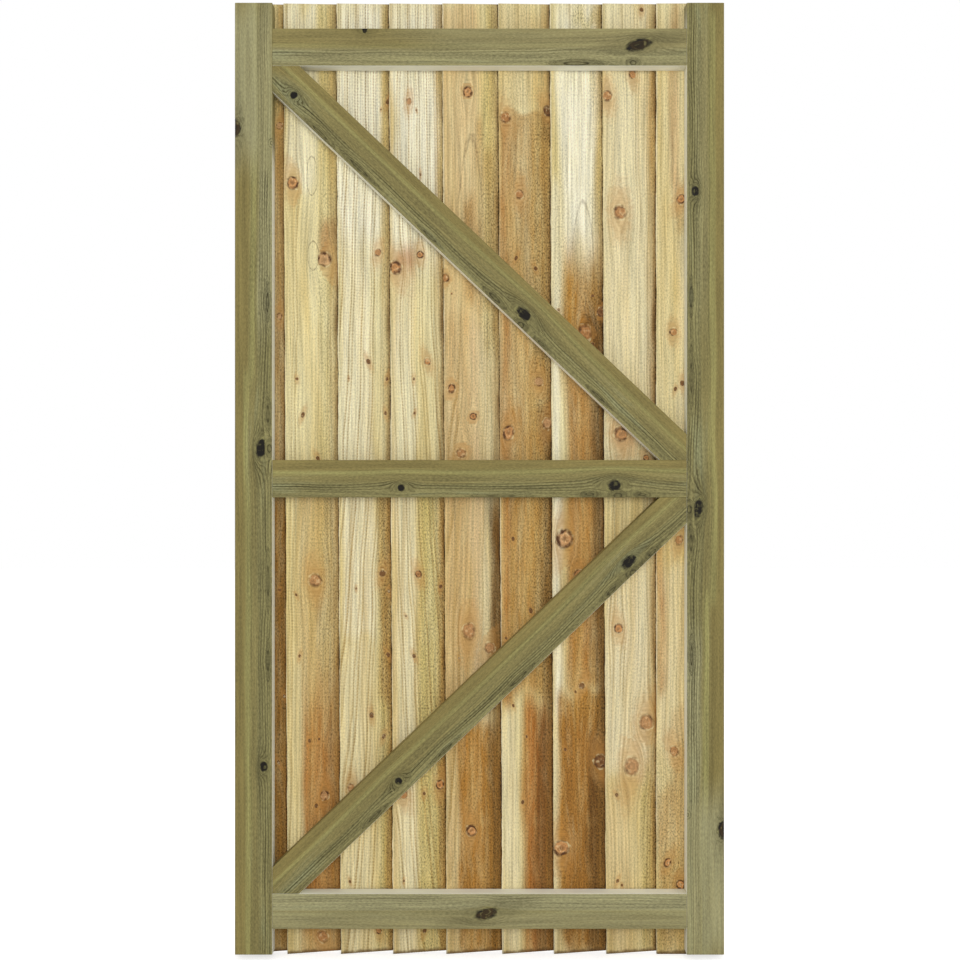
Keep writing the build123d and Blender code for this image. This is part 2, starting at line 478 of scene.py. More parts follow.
def carried(outline, start, end, step, ease):
    """An outline carried along a straight path. Across and depth are the outline's own, and along
    runs from start(across) to end(across) in even steps. Each end closes with the outline drawn in
    by ease, and then shrunk on its middle in steps, so the cut follows start and end."""
    low, high = outline.min(0), outline.max(0)
    middle, half = (low + high) / 2, (high - low) / 2
    shares = [np.array([share, share]) for share in CAP_SHARES] + [1 - ease / half]
    rings = [middle + (outline - middle) * share for share in shares]
    length = float(np.max(end(outline[:, 0])) - np.min(start(outline[:, 0])))
    steps = np.linspace(0, 1, max(2, int(round(length / step))))[:, None]
    across, depth = outline[None, :, 0], outline[None, :, 1]
    first, last = start(across) + ease, end(across) - ease
    along = first * (1 - steps) + last * steps
    body = np.stack(np.broadcast_arrays(across, depth, along), -1)
    opening = [np.stack([r[:, 0], r[:, 1], start(r[:, 0])], -1) for r in rings]
    closing = [np.stack([r[:, 0], r[:, 1], end(r[:, 0])], -1) for r in reversed(rings)]
    return np.concatenate([np.stack(opening), body, np.stack(closing)])


def flow(across, along, knots):
    """How the grain parts round the knots: across moves away from each knot's middle line by the
    knot's squared width times the distance across, over the squared distance, so that lines of
    equal value run round it. Along counts less than across, which draws the parting out."""
    moved = across.copy()
    for knot_across, knot_along, wide, _, _, kind in knots:
        if kind < CLOSED_LINE - 0.5:
            u = across - knot_across
            v = (along - knot_along) * FLOW_STRETCH
            moved -= FLOW_PUSH * wide * wide * u / (u * u + v * v + FLOW_CORE * wide * wide)
    return moved


def patches(across, along, areas, soft, sway, seed):
    """The strongest of several soft patches. Each is a rectangle whose sides fade over soft and
    sway along the timber, and whose ends fade over its own sixth number or the usual length."""
    field = np.zeros(across.shape)
    long, wide, end_long, end_wide = PATCH_WAVES
    u = across + wander(along / long, across / wide, seed) * sway
    v = along + wander(along / end_long, across / end_wide, seed + 1) * PATCH_RISE
    for low_u, high_u, low_v, high_v, strength, *own_fade in areas:
        fade = own_fade[0] if own_fade else PATCH_FADE
        sides = smooth((u - low_u) / soft + 0.5) * smooth((high_u - u) / soft + 0.5)
        ends = smooth((v - low_v) / fade + 0.5) * smooth((high_v - v) / fade + 0.5)
        field = np.maximum(field, strength * sides * ends)
    return field


def growth_rings(across, along, depth, trunk, seed):
    """Ring number at each point: its distance from the trunk's middle line over the ring spacing.
    The line stands beside the timber, leans in depth and wanders a little."""
    middle_across, middle_depth, spacing, lean = trunk
    (reach_u, long_u, wide_u), (reach_d, long_d, wide_d) = RING_WAVES
    u = across - middle_across + reach_u * wander(along / long_u, across / wide_u, seed)
    d = depth - middle_depth - along * lean + reach_d * wander(along / long_d, across / wide_d, seed + 5)
    return np.hypot(u, d) / spacing


def nearest_knot(across, along, knots):
    """For each face the place of its corners from the nearest knot, in that knot's own radii and
    turned to its lean, with the knot's kind third."""
    table = np.array(knots, float).reshape(-1, 6)
    if not len(table):
        return np.full(across.shape + (3,), NO_KNOT)
    middle_u, middle_v = across.mean(-1, keepdims=True), along.mean(-1, keepdims=True)
    away_u, away_v = (middle_u - table[:, 0]) / table[:, 2], (middle_v - table[:, 1]) / table[:, 3]
    nearest = (away_u ** 2 + away_v ** 2).argmin(-1)
    place_u, place_v, wide, long, lean, kind = table[nearest].T[..., None]
    u, v, lean = across - place_u, along - place_v, np.radians(lean)
    turned_u = u * np.cos(lean) - v * np.sin(lean)
    turned_v = u * np.sin(lean) + v * np.cos(lean)
    return np.stack([turned_u / wide, turned_v / long, np.broadcast_to(kind, u.shape)], -1)


def tube_faces(rows, columns):
    """The quads between the rows of a closed grid, and the faces that close its two ends."""
    row, column = np.meshgrid(np.arange(rows - 1), np.arange(columns), indexing="ij")
    here, after = row * columns + column, row * columns + (column + 1) % columns
    quads = np.stack([here, after, after + columns, here + columns], -1).reshape(-1, 4)
    return quads, np.arange(columns)[::-1], (rows - 1) * columns + np.arange(columns)


def set_field(mesh, name, domain, values, kind="FLOAT_VECTOR"):
    """One named field of a mesh from an array."""
    field = mesh.attributes.new(name, kind, domain)
    key = "value" if kind == "FLOAT" else "vector"
    field.data.foreach_set(key, np.ascontiguousarray(values, dtype=np.float32).ravel())


def timber_piece(name, grid, seat, knots, fields, pale_edge, material):
    """One timber from its grid of (across, depth, along) in millimetres: placed by the seat's
    origin plus each part times its axis, with quads between rows, a face closing each end, and
    its fields."""
    rows, columns = grid.shape[:2]
    flat = grid.reshape(-1, 3)
    points = (np.array(seat[0]) + flat @ np.array(seat[1:])) * MM
    quads, start_cap, end_cap = tube_faces(rows, columns)
    a, b, c = points[quads[:, 0]], points[quads[:, 1]], points[quads[:, 2]]
    outward = np.einsum("ij,ij->", np.cross(b - a, c - a), a - points.mean(0))
    if outward < 0:
        quads, start_cap, end_cap = quads[:, ::-1], start_cap[::-1], end_cap[::-1]
    mesh = bpy.data.meshes.new(name)
    mesh.from_pydata(points, [], quads.tolist() + [start_cap.tolist(), end_cap.tolist()])
    across, depth, along = flat.T
    moved = flow(across, along, knots)
    set_field(mesh, "grain", "POINT", np.stack([moved, along, depth], -1) * MM)
    for field, values in fields(across, along, depth, moved).items():
        set_field(mesh, field, "POINT", values, "FLOAT" if values.ndim == 1 else "FLOAT_VECTOR")
    numbered = [(*knot[:5], knot[5] + KNOT_LOT * order) for order, knot in enumerate(knots)]
    near = nearest_knot(across[quads], along[quads], numbered).reshape(-1, 3)
    near = np.concatenate([near, np.full((2 * columns, 3), NO_KNOT)])
    set_field(mesh, "knot", "CORNER", near)
    middle = flat[quads].mean(1)
    # The pale edge: painted light on one side face of a frame timber, fading along it
    beside = np.abs(middle[:, 0] - pale_edge[0]) < PALE_EDGE_REACH
    edge = beside * smooth((pale_edge[1] - middle[:, 2]) / PALE_EDGE_FADE)
    set_field(mesh, "edge", "FACE", np.concatenate([edge, [0, 0]]), "FLOAT")
    mesh.materials.append(material)
    piece = bpy.data.objects.new(name + "_timber", mesh)
    bpy.context.scene.collection.objects.link(piece)
    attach(piece, "root")
    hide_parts(name)


class Wire:
    """A socket of a node tree. Arithmetic on it adds Math nodes."""

    def __init__(self, tree, socket):
        self.tree = tree
        self.socket = socket

    def node(self, kind, settings, inputs, result=0):
        """Any other node: its type, its settings, which are set first, and its inputs as values
        or wires. It gives the wire of one result."""
        made = self.tree.nodes.new(kind)
        for key, value in settings.items():
            setattr(made, key, value)
        for key, value in inputs.items():
            if isinstance(value, Wire):
                self.tree.links.new(value.socket, made.inputs[key])
            else:
                made.inputs[key].default_value = value
        return Wire(self.tree, made.outputs[result] if made.outputs else None)

    def math(self, operation, *values):
        return self.node("ShaderNodeMath", {"operation": operation}, dict(enumerate(values)))

    def __add__(self, other):
        return self.math("ADD", self, other)

    def __radd__(self, other):
        return self.math("ADD", other, self)

    def __sub__(self, other):
        return self.math("SUBTRACT", self, other)

    def __rsub__(self, other):
        return self.math("SUBTRACT", other, self)

    def __mul__(self, other):
        return self.math("MULTIPLY", self, other)

    def __rmul__(self, other):
        return self.math("MULTIPLY", other, self)

    def __pow__(self, other):
        return self.math("POWER", self, other)

    def sine(self):
        return self.math("SINE", self)

    def fraction(self):
        return self.math("FRACT", self)

    def exponent(self):
        return self.math("EXPONENT", self)

    def whole(self):
        return self.math("FLOOR", self)

    def clipped(self):
        return self.node("ShaderNodeClamp", {}, {"Value": self})

    def loosened(self, cloud):
        """This share from 0 to 1, made uneven by a cloud that lies round 0."""
        return (self + cloud * self).clipped()

    def step(self, low, high):
        """An S curve from 0 at low to 1 at high."""
        settings = {"interpolation_type": "SMOOTHSTEP"}
        return self.node("ShaderNodeMapRange", settings, {"Value": self, "From Min": low, "From Max": high})

    def band(self, rise_low, rise_high, fall_low, fall_high):
        """An S curve up from 0 to 1, and another back to 0."""
        return self.step(rise_low, rise_high) * (1.0 - self.step(fall_low, fall_high))

    def blend(self, first, second):
        """A mix of two colours, with this as the share of the second."""
        settings = {"data_type": "RGBA", "clamp_factor": True}
        return self.node("ShaderNodeMix", settings, {0: self, 6: first, 7: second}, 2)

    def covered(self, colours, layers):
        """This colour with layers laid over it in turn, each a colour's name and its share."""
        colour = self
        for tone, share in layers:
            colour = share.blend(colour, colours[tone])
        return colour

    def shaded(self, value):
        """This colour times a value."""
        return self.node("ShaderNodeVectorMath", {"operation": "SCALE"}, {0: self, "Scale": value})

    def noise(self, x, y, z, detail=2.0, roughness=0.5):
        """Soft noise over this vector, with its three parts stretched first, about 0.5."""
        stretched = self.node("ShaderNodeVectorMath", {"operation": "MULTIPLY"}, {0: self, 1: (x, y, z)})
        inputs = {"Vector": stretched, "Scale": 1.0, "Detail": detail, "Roughness": roughness}
        return self.node("ShaderNodeTexNoise", {"noise_dimensions": "3D"}, inputs)

    def parts(self):
        """The three parts of this vector."""
        split = self.node("ShaderNodeSeparateXYZ", {}, {0: self})
        return [Wire(self.tree, output) for output in split.socket.node.outputs]

    def field(self, name, result="Vector"):
        """A field of the piece's mesh."""
        return self.node("ShaderNodeAttribute", {"attribute_name": name}, {}, result)


def empty_tree(owner):
    """A wire that starts the nodes of a material or a world, with its tree cleared."""
    owner.use_nodes = True
    owner.node_tree.nodes.clear()
    return Wire(owner.node_tree, None)


def new_finish(name):
    """A material with an empty tree, and a wire that starts its nodes."""
    material = bpy.data.materials.new(name)
    return material, empty_tree(material)


def seen_directly(start):
    """1 for what the camera sees, also in a mirror or through glass, and 0 for what lights."""
    rays = ("Is Camera Ray", "Is Glossy Ray", "Is Transmission Ray")
    seen, mirrored, through = [start.node("ShaderNodeLightPath", {}, {}, ray) for ray in rays]
    return (seen + mirrored + through).clipped()


def finish_surface(start, colour, roughness, height, strength, distance, plain):
    """The shader that ends a finish: colour, roughness and bump from wires, the rest plain."""
    bump = start.node("ShaderNodeBump", {}, {"Height": height, "Strength": strength, "Distance": distance})
    inputs = {"Base Color": colour, "Roughness": roughness, "Normal": bump} | plain
    surface = start.node("ShaderNodeBsdfPrincipled", {}, inputs)
    start.node("ShaderNodeOutputMaterial", {}, {"Surface": surface})


class Knot:
    """What a finish needs of the nearest knot: how far a point is from its middle in the knot's own
    radii and with an uneven edge, the same for its stain, which is longer along the grain, and
    what kind it is. Solid is 1 for all knots but lenses and thin lines."""

    def __init__(self, start, grain):
        place = start.field("knot")
        across, self.along, self.kind = place.parts()
        self.solid = 1.0 - self.kind.step(LENS - 0.6, LENS - 0.4)
        self.uneven = place.noise(1.2, 1.2, 3000.0) - 0.5
        self.rough = grain.noise(300.0, 120.0, 300.0) - 0.5
        self.lot = (self.kind * 5000.0).sine()
        plain = (across * across + self.along * self.along) ** 0.5
        self.radius = plain + self.uneven * (0.35 + self.solid * 0.35) + self.rough * (self.solid * 0.45)
        long = (across * across + self.along * self.along * 0.2) ** 0.5
        self.stain = long + self.uneven * 1.6 + self.rough * 0.8

    def laid_over(self, ground, colours, tones, spread):
        """A colour with the knots over it: a core with faint rings and sometimes a dark heart, a
        dark rim that is strongest on one side, a pale sliver on the other and a stained halo. A
        lens is nested growth lines with a darker inside, and the other kinds are thin lines.
        Tones names the colours of all these. It gives the colour and the rim."""
        pale, orange, black, edge, halo_tone, sliver_tone = tones
        radius, solid, kind, uneven, lot = self.radius, self.solid, self.kind, self.uneven, self.lot
        core = (1.0 - radius.step(0.68, 0.96)) * solid
        rim = radius.band(0.55, 0.82, 0.94, 1.24) * solid * (0.48 + uneven * 4.2 + lot * 0.3).clipped()
        sliver = radius.band(0.8, 0.9, 1.02, 1.16) * solid * (0.15 - uneven * 4.0).clipped() * 0.55
        halo = (1.0 - self.stain.step(0.7, 2.6)) * solid
        rings = (radius * 15.0 + uneven * 9.0).sine() * 0.13 + 0.95 + lot * 0.13 + self.rough * 1.1
        heart = (1.0 - radius.step(0.05, 0.45)) * (lot + 0.5).clipped() * solid * 0.7
        # Pale flecks inside the darker knots: partly pale wood, partly a painted glint
        flecks_and_glint = self.rough.step(0.03, 0.16) * kind * (1.2 - kind).clipped()
        middle = (kind * 2.0).clipped().blend(colours[pale], colours[orange])
        middle = middle.covered(
            colours, ((black, (kind * 2.0 - 1.0).clipped()), (edge, heart), (sliver_tone, flecks_and_glint))
        )
        colour = ground.covered(colours, ((halo_tone, halo * spread), (sliver_tone, sliver)))
        colour = (core * (0.74 + kind * 0.25).clipped()).blend(colour, middle.shaded(rings))
        colour = colour.covered(colours, ((edge, rim),))
        lens = 1.0 - kind.step(CLOSED_LINE - 0.6, CLOSED_LINE - 0.4)
        arch = kind.step(ARCH - 0.6, ARCH - 0.4)
        line = radius.band(0.9, 0.955, 0.985, 1.04) * (1.0 - solid)
        line = line * (1.0 - arch * (1.0 - self.along.step(-0.1, 0.3))) * (0.75 + self.rough * 3.0).clipped()
        inside = (1.0 - radius.step(0.5, 1.05)) * (1.0 - solid) * lens
        drawn = line * (0.6 - arch * 0.2 - lens * 0.15) + inside * 0.34
        return colour.covered(colours, ((edge, drawn),)), rim + core * 0.5


def board_finish(colours):
    """Sawn, pressure-treated board: cream to straw ground, stained patches, growth rings, fibre,
    flecks, saw marks across the grain, knots, and painted shade with some dirt where the next board covers
    it."""
    material, start = new_finish("sawn_board")
    grain = start.field("grain")
    across, along, depth = grain.parts()
    ring, lap, weave = [start.field(name, "Fac") for name in ("ring", "lap", "weave")]
    brown, orange, olive = start.field("stain").parts()
    pink, dark, pale = start.field("wash").parts()
    # The stains are strongest on the front
    front = 1.0 - depth.step(0.001, 0.003)
    dark = dark * (0.25 + front * 0.75)
    brown = brown * (0.5 + front * 0.5)
    orange = orange * (0.3 + front * 0.7)
    fibre = grain.noise(230.0, 5.5, 230.0, 4.0, 0.65) - 0.5
    blotch = grain.noise(26.0, 2.2, 26.0, 3.0)
    cloud = grain.noise(90.0, 11.0, 90.0, 3.0, 0.6) - 0.5
    speck = grain.noise(430.0, 240.0, 430.0, 2.0, 0.6)
    streak = grain.noise(62.0, 1.5, 62.0)
    # Each ring has its own strength, and where the weave is strong it breaks into rows of dots
    number = ring + cloud * 0.7
    stroke = along * SAW_MARKS
    dots = (stroke + cloud * 9.0 + number.whole() * 0.6).sine() * 0.5 + 0.5
    late = number.fraction().band(0.25, 0.85, 0.9, 1.0) * ((number.whole() * 1.731).sine() * 0.5 + 0.6)
    late = late * (0.12 + weave * (0.55 + dots * 0.45))
    saw = (stroke + across * 90.0 + cloud * 5.0).sine() * (blotch.step(0.5, 0.62) * 0.6 + weave * 0.5)
    loose = cloud * 1.5
    stained = (0.1 + olive * 0.9 + brown * 0.55 + dark * 0.4).clipped()
    foot = (along - across * tan(radians(FOOT_SLANT)) + cloud * 0.012).step(-0.8925, -0.8985)
    # Painted shade with some dirt towards the next board's thin edge, which stands over this board, and a
    # painted shadow line right at it
    near_lap_shade = lap.step(-0.009, -0.001) * front
    # Painted shadow of the next board's thin edge
    seam = lap.step(-0.003, -0.0004) * front
    ground = blotch.step(0.32, 0.68).blend(colours["cream"], colours["straw"])
    ground = ground.covered(colours, (
        # Honey towards the foot: partly the wood's own tone, partly painted shade of a light from above
        ("honey", along.step(0.2, -1.1) * 0.3),
        ("pink", pink.loosened(loose)),
        ("pale", pale.loosened(loose)),
        ("olive", olive.loosened(loose)),
        ("brown", brown.loosened(loose)),
        ("orange", orange.loosened(loose)),
        ("dark", dark.loosened(loose)),
        ("late", late * 0.7),
        ("late", streak.step(0.55, 0.75) * 0.35),
        ("fleck", speck.step(0.54, 0.68) * stained * 0.62),
        # Painted shade with some dirt: brown, then dark, then the seam's painted shadow before the next
        # board's thin edge
        ("brown", lap.step(-0.024, -0.003) * front * (0.35 + cloud * 0.8).clipped()),
        ("dark", near_lap_shade * (0.3 + cloud * 1.8).clipped()),
        ("seam", seam * (0.35 + speck.step(0.42, 0.6) * 0.6 + cloud * 1.2).clipped()),
        ("dark", foot * 0.75),
        # Painted highlight along each board's thin edge
        ("pale", (1.0 - across.step(0.0008, 0.004)) * 0.45),
    ))
    deep = (brown + dark + orange).clipped()
    # Painted shade: the board darkens over its last 42 mm before the next board's thin edge
    valley_shade = lap.step(-0.042, -0.002) * front * (0.07 + deep * 0.24)
    shade = 1.03 + fibre * (1.5 - deep * 0.4) + (blotch - 0.5) * (0.2 + deep * 0.55) - saw * 0.055 - valley_shade
    shade = shade - (speck - 0.5) * (0.55 + stained * 2.0)
    tones = ("knot_pale", "knot_orange", "knot_black", "knot_rim", "knot_halo", "cream")
    colour, rim = Knot(start, grain).laid_over(ground.shaded(shade), colours, tones, 0.45)
    height = fibre * 1.2 + late * 0.35 + saw * 0.2 + speck * 0.6 - rim * 0.3
    roughness = 0.86 - late * 0.1 - rim * 0.18 + (speck - 0.5) * 0.1
    finish_surface(start, colour, roughness, height, 0.4, 0.0006, {"Specular IOR Level": 0.25})
    return material


def frame_finish(colours):
    """Planed, pressure-treated frame timber: brown to grey green, with light and pale bands, fine
    dark growth lines that close round the knots, knots, and painted light on a pale side face over them."""
    material, start = new_finish("treated_frame")
    grain = start.field("grain")
    ring, edge = [start.field(name, "Fac") for name in ("ring", "edge")]
    light, lines, pale = start.field("band").parts()
    knot = Knot(start, grain)
    round_knot = ((1.0 - knot.radius) * 1.1).exponent() * knot.solid
    inside = (1.0 - knot.radius.step(0.8, 1.25)) * (1.0 - knot.solid)
    fibre = grain.noise(260.0, 4.0, 260.0, 4.0, 0.65) - 0.5
    blotch = grain.noise(45.0, 4.0, 45.0, 3.0) - 0.5
    cloud = grain.noise(110.0, 6.0, 110.0, 3.0, 0.6) - 0.5
    speck = grain.noise(520.0, 160.0, 520.0, 2.0, 0.6) - 0.5
    # The ring number bends in round a knot, and follows the outline inside a lens
    number = ring + cloud * 0.8 + round_knot * 3.5
    number = number + (knot.radius * 2.0 - number) * inside
    strong = ((number.whole() * 0.811).sine() * 0.5 + 0.55) * (0.75 + cloud * 2.0).clipped()
    strong = (strong * (1.0 - inside) + inside * 0.85).clipped()
    late = number.fraction().band(0.4, 0.84, 0.9, 1.0) * strong
    late = late * (lines * 1.05 + round_knot * 0.8 + inside * 0.9 + 0.05).clipped()
    ground = lines.blend(colours["frame_brown"], colours["frame_green"]).covered(colours, (
        ("frame_light", light.loosened(cloud)),
        ("frame_grey", pale.loosened(cloud * 0.8)),
        ("frame_mist", blotch.step(0.05, 0.2) * lines * 0.4),
        ("frame_dark", late),
    ))
    ground = ground.shaded(1.0 + fibre * (1.1 + lines * 0.7) + blotch * 0.75 + speck * (0.9 + lines * 0.6))
    tones = ("knot_swirl", "knot_brown", "knot_black", "knot_black", "frame_dark", "frame_light")
    colour, rim = knot.laid_over(ground, colours, tones, 0.3)
    # Painted light on the pale side face, laid over the knots
    painted_side_light = edge * (0.9 + blotch * 0.4).clipped() * (1.0 - rim * 0.3)
    height = fibre * 1.2 + late * 0.5 - rim * 0.3
    roughness = 0.7 - late * 0.1 - rim * 0.15 + fibre * 0.2
    colour = colour.covered(colours, (("frame_edge", painted_side_light),))
    finish_surface(start, colour, roughness, height, 0.35, 0.0004, {"Specular IOR Level": 0.15})
    return material


def nail_finish(colours):
    """Galvanised steel: grey with dull spangle and a little white bloom."""
    material, start = new_finish("galvanised_nail")
    place = start.node("ShaderNodeTexCoord", {}, {}, "Object")
    spangle = place.noise(900.0, 900.0, 900.0)
    bloom = place.noise(300.0, 300.0, 300.0)
    ground = bloom.step(0.45, 0.7).blend(colours["steel"], colours["bloom"]).shaded(0.75 + spangle * 0.5)
    finish_surface(start, ground, 0.4 + bloom * 0.3, spangle, 0.3, 0.0002, {"Metallic": 0.85})
    return material


def floor_finish():
    """Pale floor: white where it is fully lit, with the gate's shadow kept."""
    material, start = new_finish("pale_floor")
    place = start.node("ShaderNodeTexCoord", {}, {}, "Object")
    grit = place.noise(40.0, 40.0, 40.0)
    diffuse = start.node("ShaderNodeBsdfDiffuse", {}, {"Color": FLOOR_GREY, "Roughness": grit * 0.3})
    glow = seen_directly(start) * FLOOR_GLOW
    shine = start.node("ShaderNodeEmission", {}, {"Color": WHITE, "Strength": glow})
    both = start.node("ShaderNodeAddShader", {}, {0: diffuse, 1: shine})
    start.node("ShaderNodeOutputMaterial", {}, {"Surface": both})
    return material


def length_property(name, words, value):
    """A length that a user may change, with its default in metres."""
    return bpy.props.FloatProperty(name=name, description=words, default=value, unit="LENGTH")


class GateSizes(bpy.types.PropertyGroup):
    arris_radius: length_property("Arris radius", "Radius of the frame timbers' long edges", 0.0015)
    grid_step: length_property("Grid step", "Largest face across the timbers", 0.0042)
    row_step: length_property("Row step", "Distance between rows along the timbers", 0.005)
    edge_wave: length_property("Edge wave", "How far a board's thin edge wanders", 0.0007)
    nail_radius: length_property("Nail head radius", "Radius of the board nails' heads", 0.0036)


def colour_property(name, words, value):
    """A colour that a user may change, with its linear default."""
    return bpy.props.FloatVectorProperty(
        name=name, description=words, default=linear(*value), size=3, subtype="COLOR", min=0.0, max=1.0
    )


class GateColours(bpy.types.PropertyGroup):
    cream: colour_property("Cream", "Palest ground of the boards", (237, 226, 176))
    straw: colour_property("Straw", "Deeper ground of the boards", (220, 200, 138))
    # Honey is partly painted shade: the boards darken towards the foot as under a light from above
    honey: colour_property("Honey", "Ground of the boards towards the foot", (206, 172, 100))
    # Pale is also the painted highlight along each board's thin edge
    pale: colour_property("Pale", "Washed sapwood", (248, 242, 212))
    pink: colour_property("Pink", "Pinkish sapwood", (212, 180, 126))
    olive: colour_property("Olive", "Treatment stain on the boards", (190, 172, 98))
    # Brown is also painted shade before the next board's thin edge
    brown: colour_property("Brown", "Heartwood of the boards", (174, 127, 58))
    orange: colour_property("Orange", "Resinous heartwood", (170, 98, 32))
    # Dark is also painted shade before the next board's thin edge
    dark: colour_property("Dark", "Dark heartwood", (84, 54, 22))
    late: colour_property("Late wood", "Dark half of each growth ring", (158, 124, 60))
    frame_brown: colour_property("Frame brown", "Plain half of the frame timbers", (138, 125, 75))
    frame_green: colour_property("Frame green", "Grained half of the frame timbers", (139, 132, 87))
    frame_light: colour_property("Frame light", "Light stripe of the frame timbers", (163, 157, 99))
    frame_dark: colour_property("Frame dark", "Growth lines of the frame timbers", (74, 68, 38))
    # Frame grey is also painted light on the bottom rail
    frame_grey: colour_property("Frame grey", "Weathered grey of the frame timbers", (164, 159, 118))
    frame_mist: colour_property("Frame mist", "Faint bluish bloom on the frame timbers", (150, 156, 120))
    # Painted light on the frame timbers' pale side faces
    frame_edge: colour_property("Frame edge", "Inner edges of the frame timbers", (252, 252, 238))
    knot_pale: colour_property("Pale knot", "Core of a pale knot", (204, 162, 116))
    knot_orange: colour_property("Orange knot", "Core of an orange knot", (200, 138, 80))
    knot_black: colour_property("Black knot", "Core of a dead knot", (22, 18, 12))
    knot_rim: colour_property("Knot rim", "Rim round a board's knot", (84, 50, 22))
    knot_halo: colour_property("Knot halo", "Stain round a board's knot", (196, 142, 74))
    knot_swirl: colour_property("Swirl knot", "Core of a grown-over knot", (150, 142, 96))
    knot_brown: colour_property("Brown knot", "Core of a frame timber's brown knot", (92, 68, 40))
    fleck: colour_property("Fleck", "Small dark flecks of the sawn faces", (104, 80, 32))
    # Painted shadow of the next board's thin edge along each joint
    seam: colour_property("Seam", "Dirt along the joint of two boards", (46, 32, 14))
    steel: colour_property("Steel", "Galvanised nails", (150, 154, 152))
    bloom: colour_property("Bloom", "White bloom on the nails", (205, 208, 205))


def shared_finish(context, name, make):
    """The material of that name, made from the scene's colours the first time it is asked for."""
    group = context.scene.gate_colours
    colours = {tone: tuple(getattr(group, tone)) + (1.0,) for tone in GateColours.__annotations__}
    return bpy.data.materials.get(name) or make(colours)


def frame_fields(data):
    """The fields of a frame timber: rings, and bands of light stripe, growth lines and pale wood, which on
    the bottom rail is painted light.
    """

    def fields(across, along, depth, moved):
        seed = data["seed"]
        light, lines, pale = [
            patches(moved, along, data.get(name, ()), soft, BAND_SWAY, seed + later)
            for name, soft, later in (("light", 5, 0), ("lines", 6, 3), ("pale", 7, 3))
        ]
        return {
            "ring": growth_rings(moved, along, depth, data["trunk"], seed),
            "band": np.stack([light, lines, pale], -1),
        }

    return fields


def bar(context, name, origin, along_axis, across_axis, width, start, end):
    """One straight frame timber: a rectangle with eased edges carried along its length."""
    sizes = context.scene.gate_sizes
    half = width / 2
    corners = [(-half, -FRAME_BACK), (half, -FRAME_BACK), (half, FRAME_BACK), (-half, FRAME_BACK)]
    outline = eased_outline(corners, sizes.arris_radius / MM, sizes.grid_step / MM)
    grid = carried(outline, start, end, sizes.row_step / MM, FRAME_END_EASE)
    data = TIMBERS[name]
    material = shared_finish(context, "treated_frame", frame_finish)
    seat = (origin, across_axis, (0, 1, 0), along_axis)
    fields = frame_fields(data)
    timber_piece(name, grid, seat, data["knots"], fields, data["pale_edge"], material)


def level(value):
    """A cut square to the timber at one place along it."""
    return lambda across: np.full(np.shape(across), float(value))


class GATE_OT_stiles(bpy.types.Operator):
    """Make the two stiles: upright timbers of the frame"""

    bl_idname = "gate.stiles"
    bl_label = "Stiles"

    def execute(self, context):
        start, end = level(-STILE_LENGTH / 2), level(STILE_LENGTH / 2)
        for name, middle in (("left_stile", HALF_TIMBER), ("right_stile", FRAME_WIDTH - HALF_TIMBER)):
            bar(context, name, (middle, 0.0, 0.0), (0, 0, 1), (1, 0, 0), TIMBER_WIDTH, start, end)
        return {"FINISHED"}


class GATE_OT_rails(bpy.types.Operator):
    """Make the three rails between the stiles"""

    bl_idname = "gate.rails"
    bl_label = "Rails"

    def execute(self, context):
        start, end = level(CLEAR_LEFT), level(CLEAR_RIGHT)
        for name, height, width in (
            ("top_rail", TOP_RAIL_HEIGHT, TIMBER_WIDTH),
            ("middle_rail", 0.0, TIMBER_WIDTH),
            ("bottom_rail", BOTTOM_RAIL_HEIGHT, BOTTOM_RAIL_WIDTH),
        ):
            bar(context, name, (0.0, 0.0, height), (1, 0, 0), (0, 0, 1), width, start, end)
        return {"FINISHED"}


class GATE_OT_braces(bpy.types.Operator):
    """Make the two braces, each cut to the corners of its opening"""

    bl_idname = "gate.braces"
    bl_label = "Braces"

    def execute(self, context):
        top = TOP_RAIL_HEIGHT - HALF_TIMBER
        foot = BOTTOM_RAIL_HEIGHT + BOTTOM_RAIL_WIDTH / 2
        for name, left, right in (("upper_brace", top, HALF_TIMBER), ("lower_brace", foot, -HALF_TIMBER)):
            run, climb = CLEAR_RIGHT - CLEAR_LEFT, right - left
            length = hypot(run, climb)
            slope = np.array([run, 0, climb]) / length
            normal = np.array([-slope[2], 0, slope[0]])

            def start(across, slope=slope):
                # Each line of the brace starts at the stile or the rail, whichever it meets last
                return np.maximum(across * slope[2] / slope[0], -across * slope[0] / slope[2])

            def end(across, slope=slope, length=length):
                stile = length + across * slope[2] / slope[0]
                rail = length - across * slope[0] / slope[2]
                return np.minimum(stile, rail)

            bar(context, name, (CLEAR_LEFT, 0.0, left), slope, normal, TIMBER_WIDTH, start, end)
        return {"FINISHED"}


def board_leans():
    """Each board's lean in degrees: none for the two outer ones."""
    return [0.0] + [BOARD_LEAN] * (len(BOARD_PLACES) - 2) + [0.0]


def board_seat(index):
    """How a board lies: its origin and its axes across, through and along. Each board stands with
    its thin edge on the frame and its thick edge on its neighbour, so the rises are worked out
    from the last board back."""
    leans = board_leans()
    rises = [0.0] * len(BOARD_PLACES)
    for i in reversed(range(len(BOARD_PLACES) - 1)):
        spread = BOARD_LENGTH / 2 * tan(radians(abs(leans[i] - leans[i + 1])))
        lap = BOARD_WIDTH - (BOARD_PLACES[i + 1] - BOARD_PLACES[i]) + spread
        rises[i] = THIN_EDGE + LAP_GAP + (THICK_EDGE - THIN_EDGE + rises[i + 1]) / BOARD_WIDTH * lap
    tilt, lean = asin(rises[index] / BOARD_WIDTH), radians(leans[index])
    across = np.array([cos(lean) * cos(tilt), sin(tilt), sin(lean) * cos(tilt)])
    along = np.array([-sin(lean), 0.0, cos(lean)])
    through = np.cross(along, across)
    return np.array([BOARD_PLACES[index], FRAME_BACK, 0.0]), across, through, along


